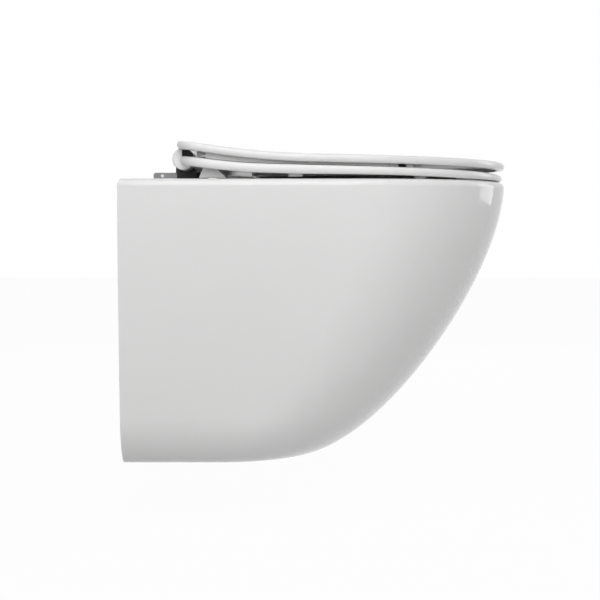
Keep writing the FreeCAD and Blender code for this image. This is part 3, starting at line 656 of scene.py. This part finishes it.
def hinge_posts():
    """Both posts, bored for the peg below, the pin across and the button in front."""
    shapes = []
    for side in (LEFT, RIGHT):
        y = side * hinge_middle
        shapes.append(combine(post_column(side), [post_foot(side)], "UNION"))
        combine(shapes[-1], [
            rod("peg", peg_radius, base_low, peg_top, 2, (peg_x, y, 0)),
            hinge_rod("pin", pin_radius, side, post_inner - 1, post_outer + 1),
            rod("stem", button_bore, post_front - button_depth, foot_front, 0, (0, y, button_z)),
        ], "DIFFERENCE")
    posts = combine(shapes[0], shapes[1:], "UNION")
    posts.name = "hinge_posts"
    return smooth(posts)


# ---------------------------------------------------------------- lid

def lid_height(x):
    """Top of the lid at x: falls from the hinge, bends over a parabola, then runs nearly level."""
    start = lid_rear_lift - lid_rear_slope * (lid_bend_start - lid_rear)
    half = (lid_bend_end - lid_bend_start) / 2
    knee = start - lid_rear_slope * half
    end = knee - lid_front_slope * half
    t = np.clip((x - lid_bend_start) / (lid_bend_end - lid_bend_start), 0, 1)
    bend = (1 - t) ** 2 * start + 2 * t * (1 - t) * knee + t * t * end
    rear = start - lid_rear_slope * (x - lid_bend_start)
    front = end - lid_front_slope * (x - lid_bend_end)
    return rim + np.where(x < lid_bend_start, rear, np.where(x > lid_bend_end, front, bend))


def lid_plate():
    """Closed plate: rings shrink from the bullnosed edge to the middle, above and below."""
    def outline(inset):
        return d_points(lid_rear + inset, lid_front - inset, lid_width / 2 - inset,
                        lid_nose - inset, lid_corner - inset)

    middle = np.array([(lid_rear + lid_front) / 2, 0.0])
    plan = []
    top = outline(lid_edge)
    for share in np.linspace(INNERMOST, 1, 30)[:-1]:
        plan.append((middle + (top - middle) * share, 0.0))
    half = lid_thickness / 2
    for a in np.linspace(np.pi / 2, -np.pi / 2, 15):
        plan.append((outline(lid_edge * (1 - np.cos(a))), -half + half * np.sin(a)))
    recess = outline(lid_margin)
    plan.append((recess, -lid_thickness))
    for share in np.linspace(1, INNERMOST, 30):
        plan.append((middle + (recess - middle) * share, -lid_skin))
    return stack("lid", [lift_to(points, lid_height(points[:, 0]) + lift) for points, lift in plan])


def lid_ridge(side):
    """Thin rib under one side of the lid, following its outline down to just above the seat."""
    x = np.linspace(ridge_rear, ridge_front, 40)

    def edge(inset):
        nose, half = lid_nose - inset, lid_width / 2 - inset
        ahead = np.maximum(0, x - (lid_front - lid_nose)) / nose
        return half * np.sqrt(1 - ahead * ahead)

    low = seat_height(x) + seat_thickness + ridge_gap
    high = lid_height(x) - lid_skin / 2
    far, near = side * edge(ridge_inset), side * edge(ridge_inset + ridge_width)
    rings = [np.array([(a, f, l), (a, f, h), (a, n, h), (a, n, l)])
             for a, f, n, l, h in zip(x, far, near, low, high)]
    return stack("ridge", rings)


def lid_web():
    """Web that joins the middle barrel to the lid's skin."""
    x = np.linspace(web_rear, web_front, 12)
    top = np.column_stack([x, lid_height(x) - lid_skin / 2])
    corners = np.vstack([top, [(web_front, hinge_z), (web_rear, hinge_z)]])
    return prism_y("web", corners, -notch_inner - 2, notch_inner + 2)


def lid():
    """Plate with ribs and web, cleared round the hinges, with the middle barrel."""
    shell = combine(lid_plate(), [lid_ridge(LEFT), lid_ridge(RIGHT), lid_web()], "UNION")
    clear = []
    for side in (LEFT, RIGHT):
        clear.append(block("notch", 0, notch_front, *on_side(side, notch_inner, notch_outer),
                           rim, rim + pan_width))
        clear.append(hinge_rod("relief", barrel_radius + barrel_relief, side,
                               post_outer, post_outer + 2 * side_gap + seat_barrel_length))
    shell = combine(shell, clear, "DIFFERENCE")
    end = post_inner - side_gap
    barrel = hinge_rod("barrel", barrel_radius, RIGHT, -end, end, barrel_edge)
    bores = [hinge_rod("bore", bore_radius, side, end - bore_depth, end + 1) for side in (LEFT, RIGHT)]
    return smooth(combine(combine(shell, [barrel], "UNION"), bores, "DIFFERENCE"))


# ---------------------------------------------------------------- shader wiring

class Wire:
    """An output of a node. Arithmetic on wires and numbers adds Math nodes."""

    def __init__(self, finish, socket):
        self.finish = finish
        self.socket = socket

    def math(self, operation, first, second):
        """Wire or number joined to another by one Math node."""
        return self.finish.add("ShaderNodeMath", {"operation": operation}, {0: first, 1: second})

    def __add__(self, other):
        return self.math("ADD", self, other)

    def __mul__(self, other):
        return self.math("MULTIPLY", self, other)

    __radd__ = __add__
    __rmul__ = __mul__


class Finish:
    """Node tree of a material, or of the world, that is wired up node by node."""

    def __init__(self, owner):
        owner.use_nodes = True
        self.owner = owner
        self.tree = owner.node_tree
        self.tree.nodes.clear()

    def add(self, kind, settings=None, values=None, output=0):
        """Node of a kind with its settings, then its sockets' values or links; gives one output."""
        node = self.tree.nodes.new(kind)
        for name, setting in (settings or {}).items():
            setattr(node, name, setting)
        for name, value in (values or {}).items():
            if isinstance(value, Wire):
                self.tree.links.new(value.socket, node.inputs[name])
            else:
                node.inputs[name].default_value = value
        return Wire(self, node.outputs[output])

    def noise(self, size, detail=2.0, stretch=(1.0, 1.0, 1.0)):
        """Soft noise from 0 to 1 whose patches are about size metres across."""
        place = self.add("ShaderNodeTexCoord", output="Object")
        place = self.add("ShaderNodeMapping", values={"Vector": place, "Scale": stretch})
        grid = {"Vector": place, "Scale": 1 / size, "Detail": detail}
        return self.add("ShaderNodeTexNoise", values=grid)

    def blend(self, factor, first, second):
        """Colour between two others."""
        colours = {0: factor, 6: (*first, 1), 7: (*second, 1)}
        return self.add("ShaderNodeMix", {"data_type": "RGBA"}, colours, output=2)

    def bump(self, height, strength, distance):
        """Relief for a Normal socket, distance metres high."""
        relief = {"Height": height, "Strength": strength, "Distance": distance}
        return self.add("ShaderNodeBump", values=relief)

    def surface(self, shader):
        """Shader led to the output node; returns the finished material or world."""
        kind = "World" if isinstance(self.owner, bpy.types.World) else "Material"
        end = self.tree.nodes.new("ShaderNodeOutput" + kind)
        self.tree.links.new(shader.socket, end.inputs["Surface"])
        return self.owner

    def principled(self, **values):
        """Principled surface; an underscore in a value's name stands for a space."""
        names = {name.replace("_", " "): value for name, value in values.items()}
        return self.surface(self.add("ShaderNodeBsdfPrincipled", values=names))


def new_finish(name):
    return Finish(bpy.data.materials.new(name))


# ---------------------------------------------------------------- finishes

def glaze():
    """White sanitary glaze: broad tone drift, slow waves in the surface and faint haze."""
    f = new_finish("white glaze")
    tone = f.blend(f.noise(0.22), (0.80, 0.80, 0.795), (0.84, 0.84, 0.838))
    waves = f.noise(0.05, 1.0)
    haze = f.noise(0.012, 4.0)
    return f.principled(Base_Color=tone, Roughness=0.05 + haze * 0.06, IOR=1.5,
                        Normal=f.bump(waves, 0.25, 0.0006))


def seat_gloss():
    """White moulded thermoset, a little softer than the glaze."""
    f = new_finish("white seat plastic")
    tone = f.blend(f.noise(0.15), (0.82, 0.82, 0.818), (0.855, 0.855, 0.852))
    grain = f.noise(0.0025, 3.0)
    return f.principled(Base_Color=tone, Roughness=0.13 + f.noise(0.02) * 0.08, IOR=1.49,
                        Normal=f.bump(grain, 0.05, 0.00005))


def chrome():
    """Polished plating, with smudges that cloud its tone and its roughness. Its base colour is kept dark as
    painted shade, standing in for the dark space under the seat that it mirrors.
    """
    f = new_finish("chrome darkened with painted shade")
    smudge = f.noise(0.012, 4.0)
    # Both tones sit well below bare chrome's: painted shade and painted reflection of the shaded space under
    # the seat
    tone = f.blend(smudge, (0.20, 0.204, 0.21), (0.29, 0.294, 0.30))
    return f.principled(Base_Color=tone, Metallic=1.0, Roughness=0.06 + smudge * 0.08)


def turned_steel(name, dark, light, roughness):
    """Metal with fine lathe marks round the bolts and pins."""
    f = new_finish(name)
    marks = f.noise(0.0012, 5.0, (6.0, 0.6, 6.0))
    tone = f.blend(marks, dark, light)
    return f.principled(Base_Color=tone, Metallic=1.0, Roughness=roughness + marks * 0.15,
                        Normal=f.bump(marks, 0.15, 0.0001))


def moulded(name, dark, light, roughness, grain_size):
    """Moulded plastic or rubber: fine grain, and a tone that drifts between two shades."""
    f = new_finish(name)
    grain = f.noise(grain_size, 3.0)
    tone = f.blend(f.noise(0.02) * 0.6 + grain * 0.4, dark, light)
    return f.principled(Base_Color=tone, Roughness=roughness + grain * 0.12,
                        Normal=f.bump(grain, 0.2, 0.0001))


finishes = {
    "ceramic": glaze(),
    "seat_plastic": seat_gloss(),
    "chrome": chrome(),
    "steel": turned_steel("zinc plated steel", (0.48, 0.49, 0.50), (0.62, 0.62, 0.61), 0.32),
    "stainless": turned_steel("stainless steel", (0.55, 0.55, 0.56), (0.68, 0.68, 0.68), 0.22),
    # Near-black finish for the hinge posts, dark partly as painted shade for the space under the seat's rear;
    # it also colours the dark discs of painted shade in the barrels
    "post_plastic": moulded("black post plastic and painted shade", (0.012, 0.012, 0.013), (0.03, 0.03, 0.032), 0.42, 0.0008),
    # The button's greys are raised above its plastic's own: painted light that lifts it out of the seat's
    # shade
    "button_plastic": moulded("grey button plastic lightened as painted light", (0.70, 0.71, 0.72), (0.78, 0.79, 0.80),
                              0.35, 0.0007),
    "fixing_plastic": moulded("natural white plastic", (0.68, 0.68, 0.65), (0.76, 0.76, 0.73), 0.40, 0.0010),
    "damper_plastic": moulded("light grey damper plastic", (0.55, 0.55, 0.56), (0.64, 0.64, 0.65),
                              0.38, 0.0008),
    "soft_pad": moulded("white elastomer", (0.66, 0.66, 0.655), (0.76, 0.76, 0.755), 0.48, 0.0012),
    "seal_rubber": moulded("dark seal rubber", (0.035, 0.035, 0.036), (0.06, 0.06, 0.062), 0.62, 0.0010),
}


def place(piece, body, slot, *nodes):
    """A finished piece takes its finish, rides on its body and stands for its nodes."""
    piece.data.materials.clear()
    piece.data.materials.append(finishes[slot])
    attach(piece, body)
    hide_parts(*nodes)


for part in frame["record"]["subparts"]:
    node = frame["nodes"][part["node"]]
    for slot in node.material_slots:
        slot.material = finishes[part["material_slot"]]

place(ceramic(), "pan", "ceramic", "pan_shell", "bowl", "flush_channel", "trapway")
place(seat(), "seat", "seat_plastic", "seat_ring")
# The seat carries the dark discs of painted shade in its barrels
place(shade_caps(), "seat", "post_plastic")
place(hinge_posts(), "pan", "post_plastic", "hinge_posts")
place(lid(), "lid", "seat_plastic", "lid")


# ---------------------------------------------------------------- studio

def seen_directly(f):
    """1 for rays from the camera, off gloss or through glass, and 0 for those that light the object."""
    rays = f.add("ShaderNodeLightPath")
    sockets = rays.socket.node.outputs
    camera, gloss, glass = (Wire(f, sockets[f"Is {kind} Ray"])
                            for kind in ("Camera", "Glossy", "Transmission"))
    return camera + gloss + glass


def white_room():
    """World: white where it is seen; where it only lights the object, softer and mostly from above."""
    f = Finish(bpy.data.worlds.new("white room"))
    seen = seen_directly(f)
    up = f.add("ShaderNodeSeparateXYZ", values={0: f.add("ShaderNodeTexCoord", output="Generated")}, output=2)
    sky = f.add("ShaderNodeMapRange", values={"Value": up, "From Min": -0.1, "From Max": 1.0,
                                              "To Min": low_light, "To Max": high_light})
    light = f.add("ShaderNodeBackground", values={"Color": (1, 1, 1, 1), "Strength": sky})
    white = f.add("ShaderNodeBackground", values={"Color": (1, 1, 1, 1), "Strength": 1.0})
    bpy.context.scene.world = f.surface(f.add("ShaderNodeMixShader", values={0: seen, 1: light, 2: white}))


def floor():
    """Pale floor well below the pan: near white where it is seen, with the pan's soft shadow."""
    corners = np.array([(-1, -1), (1, -1), (1, 1), (-1, 1)]) * floor_half
    mesh = bpy.data.meshes.new("floor")
    mesh.from_pydata(lift_to(corners, floor_z).tolist(), [], [(0, 1, 2, 3)])
    f = new_finish("pale floor")
    matt = f.add("ShaderNodeBsdfDiffuse", values={"Color": (0.66, 0.66, 0.66, 1)})
    white = f.add("ShaderNodeEmission", values={"Color": (1, 1, 1, 1), "Strength": 1.0})
    seen = seen_directly(f) * floor_white
    mesh.materials.append(f.surface(f.add("ShaderNodeMixShader", values={0: seen, 1: matt, 2: white})))
    ground = bpy.data.objects.new("floor", mesh)
    bpy.context.scene.collection.objects.link(ground)


def softbox(name, spot, target, size, watts, mirrored=True):
    """Rectangular lamp at spot that faces target, left out of reflections where mirrored is off."""
    lamp = bpy.data.lights.new(name, "AREA")
    lamp.shape = "RECTANGLE"
    lamp.size, lamp.size_y = size
    lamp.energy = watts
    box = bpy.data.objects.new(name, lamp)
    box.location = spot
    box.visible_glossy = mirrored
    aim = Vector(target) - Vector(spot)
    box.rotation_euler = aim.to_track_quat("-Z", "Y").to_euler()
    bpy.context.scene.collection.objects.link(box)


def camera():
    """Level side view from the photograph's distance, looking along +y."""
    data = bpy.data.cameras.new("camera")
    data.lens = lens_mm
    data.shift_y = frame_shift
    eye = bpy.data.objects.new("camera", data)
    eye.location = (camera_from_wall, -camera_away, camera_height)
    eye.rotation_euler = (np.pi / 2, 0, 0)
    bpy.context.scene.collection.objects.link(eye)
    bpy.context.scene.camera = eye


white_room()
floor()
softbox("overhead", (0.05, -0.9, 1.4), (0.2, 0, 0), size=(1.3, 0.36), watts=5.5)
softbox("key", (0.3, -2.3, 1.0), (0.2, 0, -0.05), size=(1.7, 1.9), watts=23.5, mirrored=False)
softbox("rim light", (0.08, -2.1, 1.25), (0.2, -0.18, 0.08), size=(0.62, 1.9), watts=7.5)
softbox("far fill", (0.4, 2.3, 1.1), (0.2, 0, -0.05), size=(1.8, 1.6), watts=18, mirrored=False)
softbox("front strip", (1.75, 0.55, 0.35), (0.4, 0, 0.05), size=(0.6, 1.0), watts=3.6)
camera()
bpy.context.scene.view_settings.view_transform = "Standard"
